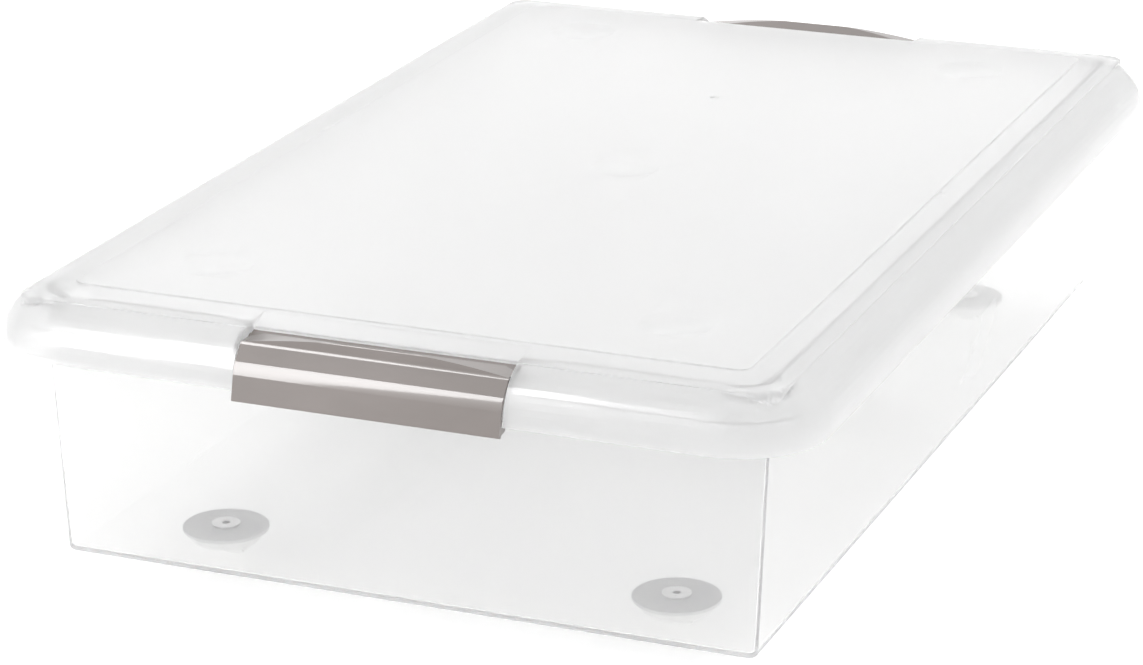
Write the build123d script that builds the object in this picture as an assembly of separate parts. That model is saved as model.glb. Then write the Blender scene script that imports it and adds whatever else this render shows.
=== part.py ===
from build123d import *
import os

# Under-bed storage box: a clear tub on four swivel casters, with a lift-off lid and two end latches.
#
# Millimetres, +Z up, +Y along the length. The origin is on the ground under the middle of the box.
# Outlines are given as an offset outward from the tub's underside outline, and heights are measured
# from the tub's underside; write_parts() raises every piece by the ground clearance.

# Tub
tub_width = 400.0
tub_length = 656.0
wall_corner = 5.0  # corner radius of the walls' outline at offset 0; at offset d it is d more
rim_corner = 14.5  # the same for the rim and the lid
tub_wall = 2.2
floor_thickness = 2.5
wall_lean = 0.0431  # outward travel of the wall for each millimetre of height
floor_edge_radius = 3.0
inner_floor_radius = 2.0
rim_top = 137.4
rim_reach = 29.0  # offset of the rim's outer face
rim_lip_bottom = 123.0
rim_outer_radius = 6.0
rim_inner_radius = 3.8
ground_clearance = 20.0
edge_radius = 0.6  # rounds the free edges of the skirt, the rim's lip and the plates
fine_edge_radius = 0.5  # the same on the latches and the pins' heads
smallest_corner = 0.5  # corner radius of the flat plates that close the middle of the floor and the lid

# Lid
lid_skin = 2.0
lid_top = 154.0
panel_edge = -8.0  # offset where the raised middle panel ends
panel_band = 6.0  # width of the panel's edge that is carried round with the border
panel_step_width = 0.8
panel_step_radius = 0.5
crease_offset = 15.0  # where the sloping border meets the rounded nose
crease_height = 150.1
crease_step = 0.5
crease_corner = 11.0  # corner radius of the crease, tighter than the nose below it
crease_corner_bottom = 145.4
nose_corner_height = 144.0  # where the nose's tangent meets the skirt's face
nose_radius = 25.5
skirt_offset = 33.0
skirt_bottom = 121.5
border_slope = 0.111
rest_rib_offset = 4.6  # the rib that carries the lid on the rim
rest_rib_wall = 2.0
lid_clearance = 0.3

# Caster places, and the lid's dished seats for the casters of a box stacked on top
caster_x = 134.0
caster_y = 265.0
seat_radius = 21.0
seat_depth = 2.0
side_pocket_length = 13.0
side_pocket_depth = 1.4
gate_mark_y = 154.0
gate_mark_radius = 3.0
gate_mark_depth = 0.4

# Latches, with their outer line from the hinge edge over the shoulder to the foot
latch_length = 151.0
latch_thickness = 2.3
latch_hinge_edge = (8.3, 147.2)
latch_shoulder = (31.95, 139.3)
latch_foot = (37.1, 117.0)
latch_shoulder_radius = 16.0
latch_pivot = (11.5, 143.9)
trunnion_radius = 2.0
trunnion_length = 2.4
pivot_play = 0.05
latch_end_gap = 0.8
bead_reach = 29.4
bead_low = 1.6  # the bead's heights above the foot
bead_high = 3.4
gusset_thickness = 2.5
gusset_bottom = 138.4
scoop_edge_height = 147.9  # the lid's edge against a latch
scoop_width = 11.6
ledge_crest = (23.5, 151.5)
ledge_hollow = (23.7, 145.0)
ledge_foot = (31.0, 137.1)
ledge_crest_radius = 1.0
ledge_hollow_radius = 2.5
ledge_rise = 6.2  # how much lower the ledge's crest is at the latch's ends

# Casters
plate_radius = 24.0
plate_thickness = 2.0
pin_radius = 2.5
pin_head_radius = 4.5
pin_head_thickness = 1.3
pin_dimple_radius = 1.9
pin_dimple_depth = 1.5
bush_radius = 7.0
bush_flange_radius = 8.0
bush_flange_thickness = 0.5
bush_hole_play = 0.2
seating_gap = 0.05  # between a plate or a flange and the floor it bears on
press_play = 0.02
swivel_play = 0.3
running_play = 0.06
hood_radius = 19.0
hood_thickness = 2.0
hood_rim_depth = 5.0
hood_rim_wall = 1.5
hood_edge_radius = 1.2
trail = 10.0
wheel_radius = 7.5
wheel_width = 11.4
tread_radius = 1.0
tread_thickness = 1.7
web_recess = 2.2
hub_wall = 1.6
web_radius = 0.4
cheek_inner = 6.3
cheek_thickness = 2.0
cheek_front = -8.0
cheek_back = 16.2
cheek_end_radius = 3.8
cheek_end_reach = 4.1
axle_radius = 1.5
axle_head_radius = 2.4
axle_head_thickness = 0.6

# Cutting shapes
overcut = 5.0  # how far a cut runs past the surface that it leaves
cutter_size = 200.0  # longer than anything that a cut goes through

half_length = tub_length / 2
notch_half_length = latch_length / 2 + latch_end_gap
rib_outer = rest_rib_offset + rest_rib_wall
corners = {
    "front_left": (-caster_x, -caster_y),
    "front_right": (caster_x, -caster_y),
    "rear_left": (-caster_x, caster_y),
    "rear_right": (caster_x, caster_y),
}
ends = {
    "front": Pos(0, -half_length, 0) * Rot(0, 0, -90),
    "rear": Pos(0, half_length, 0) * Rot(0, 0, 90),
}


def section(*corner_list):
    """A closed face in the XZ plane from (x, z, corner radius) triples."""
    points = [(x, z) for x, z, radius in corner_list]
    radii = [radius for x, z, radius in corner_list]
    return Plane.XZ * make_face(FilletPolyline(*points, radius=radii, close=True))


def inset(points, depth):
    """Moves an open line of (x, z) points sideways, to the right of its direction."""
    sides = []
    for start, end in zip(points, points[1:]):
        along = (Vector(*end) - Vector(*start)).normalized()
        sides.append(Vector(along.Y, -along.X))
    moved = [Vector(*points[0]) + sides[0] * depth]
    for point, before, after in zip(points[1:-1], sides, sides[1:]):
        moved.append(Vector(*point) + (before + after) * (depth / (1 + before.dot(after))))
    moved.append(Vector(*points[-1]) + sides[-1] * depth)
    return [(point.X, point.Y) for point in moved]


def skin_section(line, depth):
    """A face of even thickness inside an open line of (x, z, corner radius) triples."""
    inner_points = inset([(x, z) for x, z, radius in line], depth)
    inner_radii = [max(radius - depth, 0) for x, z, radius in line]
    inner_line = [(*point, radius) for point, radius in zip(inner_points, inner_radii)]
    return section(*line, *reversed(inner_line))


def outline(offset, corner):
    """The box's plan outline at an offset; corner is its corner radius at offset 0."""
    return RectangleRounded(tub_width + 2 * offset, tub_length + 2 * offset, corner + offset)


def slab(offset, corner, low, high):
    """A flat plate between two heights, out to an offset of the plan outline."""
    return Pos(0, 0, low) * extrude(outline(offset, corner), high - low)


def carry_round(face, corner):
    """Carries a section, drawn as (offset, height), round the plan outline."""
    half_x = tub_width / 2 - corner
    half_y = tub_length / 2 - corner
    at_side = Pos(tub_width / 2, 0, 0) * face
    at_end = Pos(half_x, half_y, 0) * Rot(0, 0, 90) * Pos(corner, 0, 0) * face
    corner_axis = Axis((half_x, half_y, 0), (0, 0, 1))
    quarter = extrude(at_side, half_y, dir=(0, 1, 0))
    quarter += revolve(Pos(0, half_y, 0) * at_side, corner_axis, 90)
    quarter += extrude(at_end, half_x, dir=(-1, 0, 0))
    half = quarter + mirror(quarter, about=Plane.YZ)
    return half + mirror(half, about=Plane.XZ)


def disc(radius, low, high):
    """An upright cylinder between two heights."""
    return Pos(0, 0, (low + high) / 2) * Cylinder(radius, high - low)


def wall_offset(height):
    """Offset of the tub wall's outer face at a height."""
    return height * wall_lean


def tub():
    """Drafted walls and a floor with four bush holes, under a rolled rim that the lid sits on."""
    rim_under = rim_top - tub_wall
    wall_top = wall_offset(rim_under)
    mouth_offset = wall_top - tub_wall
    floor_edge = smallest_corner - wall_corner
    wall = section(
        (floor_edge, 0, 0),
        (0, 0, floor_edge_radius),
        (wall_top, rim_under, 0),
        (wall_top, rim_top, 0),
        (mouth_offset, rim_top, 0),
        (mouth_offset, rim_under, 0),
        (wall_offset(floor_thickness) - tub_wall, floor_thickness, inner_floor_radius),
        (floor_edge, floor_thickness, 0),
    )
    rim = section(
        (mouth_offset, rim_under, 0),
        (rim_reach - tub_wall, rim_under, rim_inner_radius),
        (rim_reach - tub_wall, rim_lip_bottom, edge_radius),
        (rim_reach, rim_lip_bottom, edge_radius),
        (rim_reach, rim_top, rim_outer_radius),
        (mouth_offset, rim_top, 0),
    )
    mouth = slab(mouth_offset, wall_corner, rim_under - overcut, rim_top + overcut)
    body = carry_round(wall, wall_corner) + slab(floor_edge, wall_corner, 0, floor_thickness)
    body += carry_round(rim, rim_corner) - mouth
    bush_hole = disc(bush_radius + bush_hole_play, -overcut, floor_thickness + overcut)
    for x, y in corners.values():
        body -= Pos(x, y, 0) * bush_hole
    return body


def border_height(offset):
    """Height of the lid's sloping border at an offset."""
    return crease_height + crease_step + (crease_offset - offset) * border_slope


def lid_shell():
    """Panel, border, nose and skirt of even thickness, and the inner rib that rests on the tub's rim."""
    panel_start = panel_edge - panel_band
    step_end = panel_edge + panel_step_width
    line = [
        (panel_start, lid_top, 0),
        (panel_edge, lid_top, panel_step_radius),
        (step_end, border_height(step_end), 0),
        (crease_offset, border_height(crease_offset), 0),
        (crease_offset, crease_height, 0),
        (skirt_offset, nose_corner_height, nose_radius),
        (skirt_offset, skirt_bottom, edge_radius),
    ]
    rib = section(
        (rest_rib_offset, rim_top + lid_clearance, 0),
        (rib_outer, rim_top + lid_clearance, 0),
        (rib_outer, border_height(rib_outer) - lid_skin / 2, 0),
        (rest_rib_offset, border_height(rest_rib_offset) - lid_skin / 2, 0),
    )
    shell = carry_round(skin_section(line, lid_skin), rim_corner) + carry_round(rib, rim_corner)
    return shell + slab(panel_start, rim_corner, lid_top - lid_skin, lid_top)


def crease_corners():
    """Four pads that bring the crease's wide corners out to tight ones."""
    tight = outline(crease_offset, crease_corner - crease_offset)
    pads = tight - outline(crease_offset, rim_corner)
    thickness = border_height(crease_offset) - crease_corner_bottom
    return Pos(0, 0, crease_corner_bottom) * extrude(pads, thickness)


def seat():
    """A dished seat in the panel: what is added below the skin, and what is cut from above."""
    dish_radius = (seat_radius**2 + seat_depth**2) / (2 * seat_depth)
    centre = Pos(0, 0, lid_top - seat_depth + dish_radius)
    below_skin = disc(seat_radius + lid_skin, lid_top - 3 * lid_skin, lid_top - lid_skin)
    return centre * Sphere(dish_radius + lid_skin) & below_skin, centre * Sphere(dish_radius)


def latch_notch():
    """A latch's place in the lid: skin added under the finger scoop, and what the notch and scoop cut."""
    reach = skirt_offset + overcut - rib_outer
    opening = Pos(rib_outer + reach / 2, 0, lid_top) * Box(reach, 2 * notch_half_length, cutter_size)
    scoop_start = rib_outer - scoop_width
    start_height = border_height(scoop_start)
    added = section(
        (scoop_start, start_height - lid_skin / 2, 0),
        (rib_outer, border_height(rib_outer) - lid_skin / 2, 0),
        (rib_outer, scoop_edge_height - lid_skin, 0),
        (scoop_start, start_height - lid_skin, 0),
    )
    scoop = section(
        (scoop_start, start_height, 0),
        (rib_outer, scoop_edge_height, 0),
        (rib_outer + overcut, lid_top + overcut, 0),
        (scoop_start, lid_top + overcut, 0),
    )
    added_half_length = notch_half_length + gusset_thickness
    cut = opening + extrude(scoop, notch_half_length, dir=(0, 1, 0), both=True)
    return extrude(added, added_half_length, dir=(0, 1, 0), both=True), cut


def gusset():
    """An end wall of a latch's notch, and the bore in it for a trunnion."""
    line = [
        (rib_outer - 1, border_height(rib_outer - 1)),
        (crease_offset, crease_height),
        (skirt_offset, nose_corner_height),
        (skirt_offset, skirt_bottom),
    ]
    radii = [0, 0, nose_radius - lid_skin / 2, 0]
    top_line = [(*point, radius) for point, radius in zip(inset(line, lid_skin / 2), radii)]
    under_nose = section(*top_line, (rib_outer - 1, skirt_bottom, 0))
    wall = extrude(under_nose, gusset_thickness, dir=(0, 1, 0))
    wall -= Pos(0, 0, gusset_bottom - cutter_size / 2) * Box(cutter_size, cutter_size, cutter_size)
    bore = Pos(latch_pivot[0], 0, latch_pivot[1]) * Rot(90, 0, 0)
    bore *= Cylinder(trunnion_radius + pivot_play, 4 * gusset_thickness)
    return wall, bore


def lid():
    """The shell with five dished seats, two side pockets, a gate mark and two latch notches."""
    body = lid_shell() + crease_corners()
    added, cut = seat()
    for x, y in [(0, 0), *corners.values()]:
        body += Pos(x, y, 0) * added
        body -= Pos(x, y, 0) * cut
    body -= Pos(0, gate_mark_y, 0) * disc(gate_mark_radius, lid_top - gate_mark_depth, lid_top + overcut)
    pocket = Box(-panel_edge, side_pocket_length, 2 * side_pocket_depth)
    for side in (-1, 1):
        body -= Pos(side * (tub_width / 2 + panel_edge / 2), 0, lid_top) * pocket
    added, cut = latch_notch()
    wall, bore = gusset()
    for place in ends.values():
        body += place * added
        body -= place * cut
        for start in (notch_half_length, -notch_half_length - gusset_thickness):
            body += place * Pos(0, start, 0) * wall
            body -= place * Pos(0, start + gusset_thickness / 2, 0) * bore
    return body


def latch():
    """A curved cover with end trunnions, a crowned finger ledge and a catch bead, at offset and height."""
    line = [
        (*latch_hinge_edge, fine_edge_radius),
        (*latch_shoulder, latch_shoulder_radius),
        (*latch_foot, fine_edge_radius),
    ]
    bead = section(
        (latch_foot[0] - latch_thickness / 2, latch_foot[1] + bead_low / 2, 0),
        (bead_reach, latch_foot[1] + bead_low, fine_edge_radius),
        (bead_reach, latch_foot[1] + bead_high, fine_edge_radius),
        (latch_foot[0] - latch_thickness, latch_foot[1] + bead_low + bead_high, 0),
    )
    trunnion = Pos(latch_pivot[0], 0, latch_pivot[1]) * Rot(90, 0, 0)
    trunnion *= Cylinder(trunnion_radius, latch_length + 2 * trunnion_length)
    body = extrude(skin_section(line, latch_thickness), latch_length / 2, dir=(0, 1, 0), both=True)
    body += extrude(bead, latch_length / 2, dir=(0, 1, 0), both=True)
    return body + trunnion + finger_ledge()


def finger_ledge():
    """A lens-shaped ledge along the latch's top, tallest at the middle and rooted inside its skin."""
    root = latch_thickness / 2
    hump = section(
        (latch_hinge_edge[0] + root, latch_hinge_edge[1] - root, 0),
        (*ledge_crest, ledge_crest_radius),
        (*ledge_hollow, ledge_hollow_radius),
        (*ledge_foot, 0),
        (ledge_foot[0] - root, ledge_foot[1] - root, 0),
    )
    half = latch_length / 2
    block = extrude(hump, half, dir=(0, 1, 0), both=True)
    crown_radius = (half**2 + ledge_rise**2) / (2 * ledge_rise)
    crown = Pos(0, 0, ledge_crest[1] - crown_radius) * Rot(0, 90, 0) * Cylinder(crown_radius, cutter_size)
    return block & crown


def caster_plate():
    """Round top plate against the tub's underside."""
    plate = disc(plate_radius, -plate_thickness, -seating_gap)
    plate = fillet(plate.edges().group_by(Axis.Z)[0], edge_radius)
    return plate - disc(pin_radius + press_play, -plate_thickness - overcut, overcut)


def caster_pin():
    """Swivel pin, headed under the yoke, with a dimpled end just below the bush's flange."""
    head_top = -plate_thickness - swivel_play - hood_thickness - swivel_play
    pin_top = floor_thickness + seating_gap
    pin = disc(pin_radius, head_top - pin_head_thickness / 2, pin_top)
    pin -= disc(pin_dimple_radius, pin_top - pin_dimple_depth, pin_top + overcut)
    head = disc(pin_head_radius, head_top - pin_head_thickness, head_top)
    return pin + fillet(head.edges().group_by(Axis.Z)[0], fine_edge_radius)


def caster_bush():
    """Flanged bush that holds the pin in the tub's floor."""
    flange_bottom = floor_thickness + seating_gap
    flange_top = flange_bottom + bush_flange_thickness
    bush = disc(bush_radius, 0, flange_bottom) + disc(bush_flange_radius, flange_bottom, flange_top)
    return bush - disc(pin_radius + press_play, -overcut, flange_top + overcut)


def caster_yoke():
    """Round hood with two cheeks that carry the axle behind the swivel axis."""
    hood_top = -plate_thickness - swivel_play
    hood_under = hood_top - hood_thickness
    axle_height = wheel_radius - ground_clearance
    hood = disc(hood_radius, hood_top - hood_rim_depth, hood_top)
    hood = fillet(hood.edges().group_by(Axis.Z)[-1], hood_edge_radius)
    hood -= disc(hood_radius - hood_rim_wall, hood_top - hood_rim_depth - overcut, hood_under)
    cheek_outline = FilletPolyline(
        (cheek_front, hood_under + hood_thickness / 2),
        (cheek_back, hood_under + hood_thickness / 2),
        (trail + cheek_end_reach, axle_height - cheek_end_reach),
        (trail - cheek_end_reach, axle_height - cheek_end_reach),
        radius=[0, 0, cheek_end_radius, cheek_end_radius],
        close=True,
    )
    cheek = extrude(Plane.YZ * make_face(cheek_outline), cheek_thickness)
    for side in (cheek_inner, -cheek_inner - cheek_thickness):
        hood += Pos(side, 0, 0) * cheek
    hood -= disc(pin_radius + running_play, hood_under - overcut, 0)
    return hood - Pos(0, trail, axle_height) * Rot(0, 90, 0) * Cylinder(axle_radius, cutter_size)


def caster_axle():
    """Riveted axle across the yoke."""
    span = 2 * (cheek_inner + cheek_thickness)
    rod = Cylinder(axle_radius, span + axle_head_thickness)
    for side in (-1, 1):
        middle = side * (span + axle_head_thickness) / 2
        rod += Pos(0, 0, middle) * Cylinder(axle_head_radius, axle_head_thickness)
    return Pos(0, trail, wheel_radius - ground_clearance) * Rot(0, 90, 0) * rod


def caster_wheel():
    """Wheel with rounded tread edges and a dished web on each side."""
    half = wheel_width / 2
    rim = wheel_radius - tread_thickness
    hub = axle_radius + hub_wall
    web_half = half - web_recess
    profile = section(
        (axle_radius + running_play, -half, 0),
        (hub, -half, 0),
        (hub, -web_half, web_radius),
        (rim, -web_half, web_radius),
        (rim, -half, 0),
        (wheel_radius, -half, tread_radius),
        (wheel_radius, half, tread_radius),
        (rim, half, 0),
        (rim, web_half, web_radius),
        (hub, web_half, web_radius),
        (hub, half, 0),
        (axle_radius + running_play, half, 0),
    )
    wheel = revolve(profile, Axis.Z)
    return Pos(0, trail, wheel_radius - ground_clearance) * Rot(0, 90, 0) * wheel


def all_parts():
    """Every piece by node name, with heights from the tub's underside."""
    parts = {"tub": tub(), "lid": lid()}
    latch_body = latch()
    for end, place in ends.items():
        parts[f"latch_{end}"] = place * latch_body
    caster_pieces = {
        "plate": caster_plate(),
        "pin": caster_pin(),
        "bush": caster_bush(),
        "yoke": caster_yoke(),
        "axle": caster_axle(),
        "wheel": caster_wheel(),
    }
    for corner, (x, y) in corners.items():
        for piece, shape in caster_pieces.items():
            parts[f"caster_{piece}_{corner}"] = Pos(x, y, 0) * shape
    return parts


def write_parts():
    """Raises every piece to stand on the ground and writes one STEP file for each."""
    os.makedirs("parts", exist_ok=True)
    for node, shape in all_parts().items():
        export_step(Pos(0, 0, ground_clearance) * shape, f"parts/{node}.step")


write_parts()
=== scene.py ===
"""Looks for the under bed box: camera, studio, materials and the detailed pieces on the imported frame."""

import math

import bmesh
import bpy
from mathutils import Matrix, Vector


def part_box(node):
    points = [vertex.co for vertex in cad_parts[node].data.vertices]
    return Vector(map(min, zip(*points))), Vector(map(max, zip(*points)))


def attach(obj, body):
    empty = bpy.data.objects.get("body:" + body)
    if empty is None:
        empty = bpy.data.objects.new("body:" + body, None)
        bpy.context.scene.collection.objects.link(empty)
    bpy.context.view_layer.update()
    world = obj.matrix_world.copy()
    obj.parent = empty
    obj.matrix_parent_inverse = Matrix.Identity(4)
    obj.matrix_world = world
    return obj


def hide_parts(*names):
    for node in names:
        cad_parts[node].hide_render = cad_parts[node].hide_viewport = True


# Camera, at the photograph's viewing angle, in metres and degrees
camera_place = (0.7772, -1.9767, 0.8102)
camera_azimuth = 22.33
camera_elevation = 19.33
camera_roll = -0.32
camera_lens = 117.8  # millimetres
camera_sensor = 36.0  # millimetres, across

# Studio
floor_size = 14.0
floor_colour = (0.97, 0.97, 0.97)
floor_glow = 0.28
world_strength = 1.28
key_place = (-0.72, -1.41, 0.87)
key_aim = (0.0, -0.3, 0.12)
key_width = 0.42
key_height = 1.2
key_power = 17.0  # watts

# Light paths, deep enough for several clear walls one behind the other
clear_bounces = 32
plain_bounces = 12

# Surfaces
cloud_swing = 0.2  # how far the clear plastic's share of white wanders, as a part of it
ripple_share = 0.25  # ripple strength of the clear plastic, for each unit of its roughness
ripple_depth = 0.0004
grain_depth = 0.0003

# Lid panel, which sags between its edges
panel_sag = 0.0055
panel_inset = 0.043  # from the lid's side to the panel's edge
panel_cuts = 20  # across the panel, each way
weld_distance = 1e-6
sharp_angle = 28.0  # degrees, above which an edge of the lid stays sharp

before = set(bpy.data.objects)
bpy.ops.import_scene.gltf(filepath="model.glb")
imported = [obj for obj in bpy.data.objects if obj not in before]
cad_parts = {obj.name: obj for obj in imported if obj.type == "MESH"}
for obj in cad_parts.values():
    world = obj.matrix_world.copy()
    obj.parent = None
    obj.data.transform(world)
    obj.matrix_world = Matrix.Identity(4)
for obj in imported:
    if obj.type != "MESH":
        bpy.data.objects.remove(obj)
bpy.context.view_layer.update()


# ---------------------------------------------------------------- node helpers


class Shader:
    """A material's node tree, built by short calls."""

    def __init__(self, name):
        self.material = bpy.data.materials.new(name)
        self.material.use_nodes = True
        self.tree = self.material.node_tree
        self.tree.nodes.clear()
        self.output = self.tree.nodes.new("ShaderNodeOutputMaterial")

    def node(self, kind, **values):
        """A node of that kind, with its settings and its inputs set by name."""
        made = self.tree.nodes.new("ShaderNode" + kind)
        for name, value in values.items():
            socket = made.inputs.get(name.replace("_", " "))
            if socket is None:
                setattr(made, name, value)
            else:
                socket.default_value = value
        return made

    def join(self, source, target, target_socket, source_socket=0):
        """Links one node's output to another's input."""
        self.tree.links.new(source.outputs[source_socket], target.inputs[target_socket])


def place_texture(shader, scale=(1.0, 1.0, 1.0)):
    """Object coordinates, stretched by a scale for each axis."""
    coordinates = shader.node("TexCoord")
    mapping = shader.node("Mapping", Scale=scale)
    shader.join(coordinates, mapping, "Vector", "Object")
    return mapping


def add_bump(shader, height, target, strength, distance):
    """Bumps a shader's normal by a height node."""
    bump = shader.node("Bump", Strength=strength, Distance=distance)
    shader.join(height, bump, "Height")
    for each in target:
        shader.join(bump, each, "Normal")


# ---------------------------------------------------------------- materials


def clear_plastic(name, tint, white, veil, roughness, bending, gloss, cloud_scale):
    """Milky plastic: clear, with a cloudy share of white, the veil, that scatters light both ways."""
    shader = Shader(name)
    clear = shader.node("BsdfPrincipled", Roughness=roughness, IOR=bending)
    clear.inputs["Base Color"].default_value = (tint, tint, tint, 1.0)
    clear.inputs["Transmission Weight"].default_value = 1.0
    clear.inputs["Coat Weight"].default_value = gloss
    clear.inputs["Coat Roughness"].default_value = 0.1
    front = shader.node("BsdfDiffuse", Color=(white, white, white, 1.0))
    back = shader.node("BsdfTranslucent", Color=(white, white, white, 1.0))
    scatter = shader.node("MixShader", Fac=0.5)
    shader.join(front, scatter, 1)
    shader.join(back, scatter, 2)
    cloud = shader.node("TexNoise", Scale=cloud_scale, Detail=4.0, Roughness=0.55)
    shader.join(place_texture(shader, (1.0, 0.5, 1.0)), cloud, "Vector")
    share = shader.node("MapRange")
    share.inputs["To Min"].default_value = veil * (1 - cloud_swing)
    share.inputs["To Max"].default_value = veil * (1 + cloud_swing)
    shader.join(cloud, share, "Value")
    surface = shader.node("MixShader")
    shader.join(share, surface, 0)
    shader.join(clear, surface, 1)
    shader.join(scatter, surface, 2)
    ripple = shader.node("TexNoise", Scale=110.0, Detail=3.0)
    shader.join(place_texture(shader, (1.0, 0.6, 1.0)), ripple, "Vector")
    add_bump(shader, ripple, (clear,), roughness * ripple_share, ripple_depth)
    shader.join(surface, shader.output, "Surface")
    return shader.material


def latch_plastic(name):
    """Glossy taupe plastic with a faint cloud in its colour and fine ripples in its gloss."""
    shader = Shader(name)
    surface = shader.node("BsdfPrincipled", Roughness=0.35, IOR=1.5)
    surface.inputs["Coat Weight"].default_value = 1.0
    surface.inputs["Coat Roughness"].default_value = 0.08
    cloud = shader.node("TexNoise", Scale=35.0, Detail=4.0)
    shader.join(place_texture(shader, (0.4, 1.0, 1.0)), cloud, "Vector")
    ramp = shader.node("ValToRGB")
    ramp.color_ramp.elements[0].position = 0.3
    ramp.color_ramp.elements[0].color = (0.150, 0.127, 0.116, 1.0)
    ramp.color_ramp.elements[1].position = 0.7
    ramp.color_ramp.elements[1].color = (0.175, 0.149, 0.138, 1.0)
    shader.join(cloud, ramp, "Fac")
    shader.join(ramp, surface, "Base Color")
    ripple = shader.node("TexNoise", Scale=180.0, Detail=2.0)
    shader.join(place_texture(shader, (0.5, 1.0, 1.0)), ripple, "Vector")
    add_bump(shader, ripple, (surface,), 0.12, ripple_depth)
    shader.join(surface, shader.output, "Surface")
    return shader.material


def plain_surface(name, dark, light, roughness, metallic, grain_scale):
    """An opaque surface whose colour wanders between two tones, with a fine grain."""
    shader = Shader(name)
    surface = shader.node("BsdfPrincipled", Metallic=metallic)
    surface.inputs["Roughness"].default_value = roughness
    cloud = shader.node("TexNoise", Scale=grain_scale, Detail=5.0)
    shader.join(place_texture(shader), cloud, "Vector")
    ramp = shader.node("ValToRGB")
    ramp.color_ramp.elements[0].position = 0.35
    ramp.color_ramp.elements[0].color = (*dark, 1.0)
    ramp.color_ramp.elements[1].position = 0.65
    ramp.color_ramp.elements[1].color = (*light, 1.0)
    shader.join(cloud, ramp, "Fac")
    shader.join(ramp, surface, "Base Color")
    add_bump(shader, cloud, (surface,), 0.2, grain_depth)
    shader.join(surface, shader.output, "Surface")
    return shader.material


def floor_paint():
    """Plain pale studio floor, faintly lit from below like a light table."""
    shader = Shader("studio_floor")
    paint = shader.node("BsdfDiffuse", Color=(*floor_colour, 1.0))
    glow = shader.node("Emission", Color=(1.0, 1.0, 1.0, 1.0), Strength=floor_glow)
    surface = shader.node("AddShader")
    shader.join(paint, surface, 0)
    shader.join(glow, surface, 1)
    shader.join(surface, shader.output, "Surface")
    return shader.material


# ---------------------------------------------------------------- pieces


def give_material(node, material):
    """Puts one material on a CAD node."""
    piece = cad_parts[node]
    piece.data.materials.clear()
    piece.data.materials.append(material)


def dress_frame():
    """Gives every CAD node its material."""
    tub = clear_plastic(
        "tub_polypropylene",
        tint=0.96,
        white=0.96,
        veil=0.205,
        roughness=0.03,
        bending=1.22,
        gloss=0.0,
        cloud_scale=9.0,
    )
    lid = clear_plastic(
        "lid_polypropylene",
        tint=1.0,
        white=0.93,
        veil=0.26,
        roughness=0.3,
        bending=1.49,
        gloss=0.6,
        cloud_scale=7.0,
    )
    by_word = {
        "tub": tub,
        "lid": lid,
        "latch": latch_plastic("latch_taupe"),
        "plate": plain_surface("zinc_plate", (0.34, 0.34, 0.345), (0.40, 0.40, 0.405), 0.5, 0.2, 400.0),
        # Painted shade: the pin's near-black colour stands in for the shade inside the hollow at its end,
        # in place of its own steel colour
        "pin": plain_surface("pin_painted_hole_shade", (0.010, 0.010, 0.010), (0.018, 0.018, 0.018), 0.5, 0.0, 500.0),
        "axle": plain_surface("steel_axle", (0.45, 0.45, 0.46), (0.52, 0.52, 0.53), 0.35, 0.9, 500.0),
        "bush": plain_surface("pale_nylon", (0.54, 0.54, 0.54), (0.60, 0.60, 0.60), 0.4, 0.0, 300.0),
        "yoke": plain_surface("white_housing", (0.82, 0.82, 0.81), (0.87, 0.87, 0.86), 0.45, 0.0, 300.0),
        "wheel": plain_surface("white_wheel", (0.78, 0.78, 0.77), (0.84, 0.84, 0.83), 0.5, 0.0, 300.0),
    }
    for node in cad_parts:
        word = node.split("_")[1] if node.startswith("caster") else node.split("_")[0]
        give_material(node, by_word[word])


def dip(place, half):
    """How far down a point of the panel hangs along one axis: 1 in the middle, level at the edges."""
    share = min(abs(place) / half, 1.0)
    return (1.0 - share**2) ** 2


def sagging_lid():
    """A copy of the lid whose wide thin panel sags a little between its edges."""
    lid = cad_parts["lid"]
    far_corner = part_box("lid")[1]
    halves = [far_corner[0] - panel_inset, far_corner[1] - panel_inset]
    mesh = bmesh.new()
    mesh.from_mesh(lid.data)
    bmesh.ops.remove_doubles(mesh, verts=mesh.verts, dist=weld_distance)
    for axis in (0, 1):
        across = Vector((1.0, 0.0, 0.0)) if axis == 0 else Vector((0.0, 1.0, 0.0))
        for cut in range(1, panel_cuts):
            place = halves[axis] * (2 * cut / panel_cuts - 1)
            everything = [*mesh.verts, *mesh.edges, *mesh.faces]
            bmesh.ops.bisect_plane(mesh, geom=everything, plane_co=across * place, plane_no=across)
    for vertex in mesh.verts:
        vertex.co.z -= panel_sag * dip(vertex.co.x, halves[0]) * dip(vertex.co.y, halves[1])
    data = bpy.data.meshes.new("lid_sagging")
    mesh.to_mesh(data)
    mesh.free()
    data.shade_smooth()
    data.set_sharp_from_angle(angle=math.radians(sharp_angle))
    data.materials.append(lid.data.materials[0])
    piece = bpy.data.objects.new("lid_sagging", data)
    bpy.context.scene.collection.objects.link(piece)
    weighting = piece.modifiers.new("flat_faces_stay_flat", "WEIGHTED_NORMAL")
    weighting.keep_sharp = True
    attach(piece, "lid")
    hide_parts("lid")


# ---------------------------------------------------------------- studio


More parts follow.
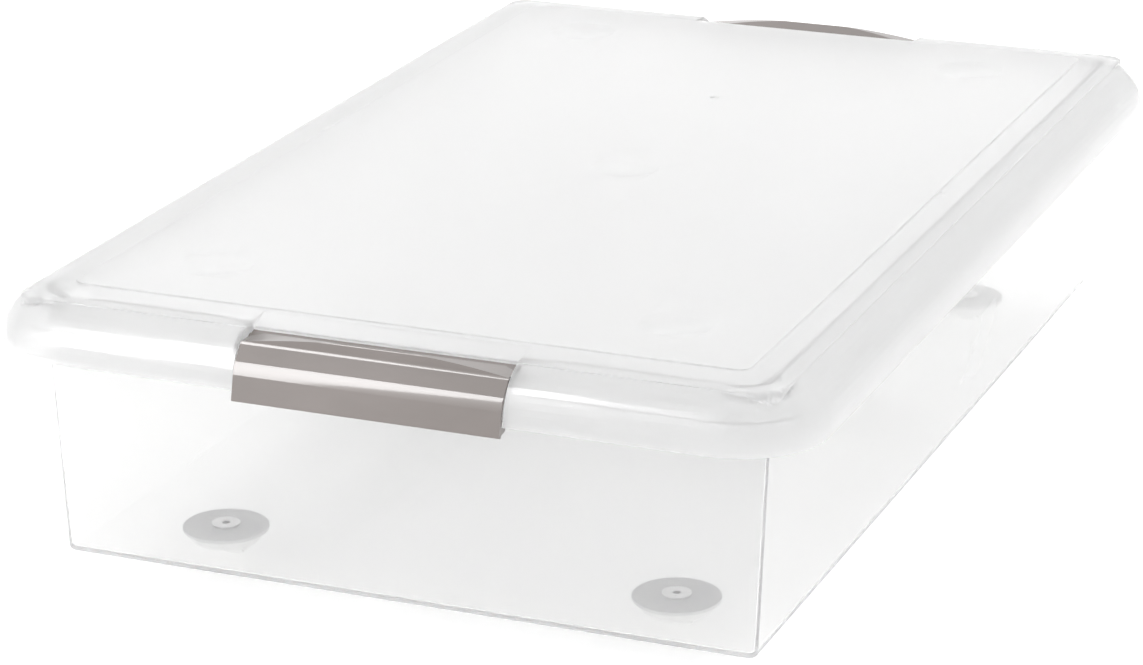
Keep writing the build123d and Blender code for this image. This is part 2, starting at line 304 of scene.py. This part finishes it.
def studio_floor():
    """A wide pale floor under the box."""
    mesh = bpy.data.meshes.new("studio_floor")
    half = floor_size / 2
    corners = [(-half, -half, 0), (half, -half, 0), (half, half, 0), (-half, half, 0)]
    mesh.from_pydata(corners, [], [(0, 1, 2, 3)])
    floor = bpy.data.objects.new("studio_floor", mesh)
    floor.data.materials.append(floor_paint())
    bpy.context.scene.collection.objects.link(floor)


def studio_world():
    """Even white light from all round."""
    world = bpy.data.worlds.new("studio")
    bpy.context.scene.world = world
    world.use_nodes = True
    background = world.node_tree.nodes["Background"]
    background.inputs["Color"].default_value = (1.0, 1.0, 1.0, 1.0)
    background.inputs["Strength"].default_value = world_strength


def soft_light(name, place, aim, width, height, power):
    """A rectangular softbox at a place, facing a point."""
    lamp = bpy.data.lights.new(name, "AREA")
    lamp.shape = "RECTANGLE"
    lamp.size = width
    lamp.size_y = height
    lamp.energy = power
    light = bpy.data.objects.new(name, lamp)
    light.location = place
    direction = Vector(aim) - Vector(place)
    light.rotation_euler = direction.to_track_quat("-Z", "Y").to_euler()
    bpy.context.scene.collection.objects.link(light)
    return light


def studio_camera():
    """The camera at the photograph's place and angle."""
    data = bpy.data.cameras.new("camera")
    data.lens = camera_lens
    data.sensor_width = camera_sensor
    camera = bpy.data.objects.new("camera", data)
    turn = Matrix.Rotation(math.radians(camera_azimuth), 4, "Z")
    tip = Matrix.Rotation(math.radians(90 - camera_elevation), 4, "X")
    roll = Matrix.Rotation(math.radians(camera_roll), 4, "Z")
    camera.matrix_world = Matrix.Translation(camera_place) @ turn @ tip @ roll
    bpy.context.scene.collection.objects.link(camera)
    bpy.context.scene.camera = camera


def studio_lights():
    """A tall softbox at the front left, seen only as a reflection."""
    key = soft_light("key", key_place, key_aim, key_width, key_height, key_power)
    key.visible_diffuse = False


dress_frame()
sagging_lid()
studio_floor()
studio_world()
studio_camera()
studio_lights()
bpy.context.scene.view_settings.view_transform = "Standard"
light_paths = bpy.context.scene.cycles
light_paths.max_bounces = clear_bounces
light_paths.transmission_bounces = clear_bounces
light_paths.diffuse_bounces = plain_bounces
light_paths.glossy_bounces = plain_bounces
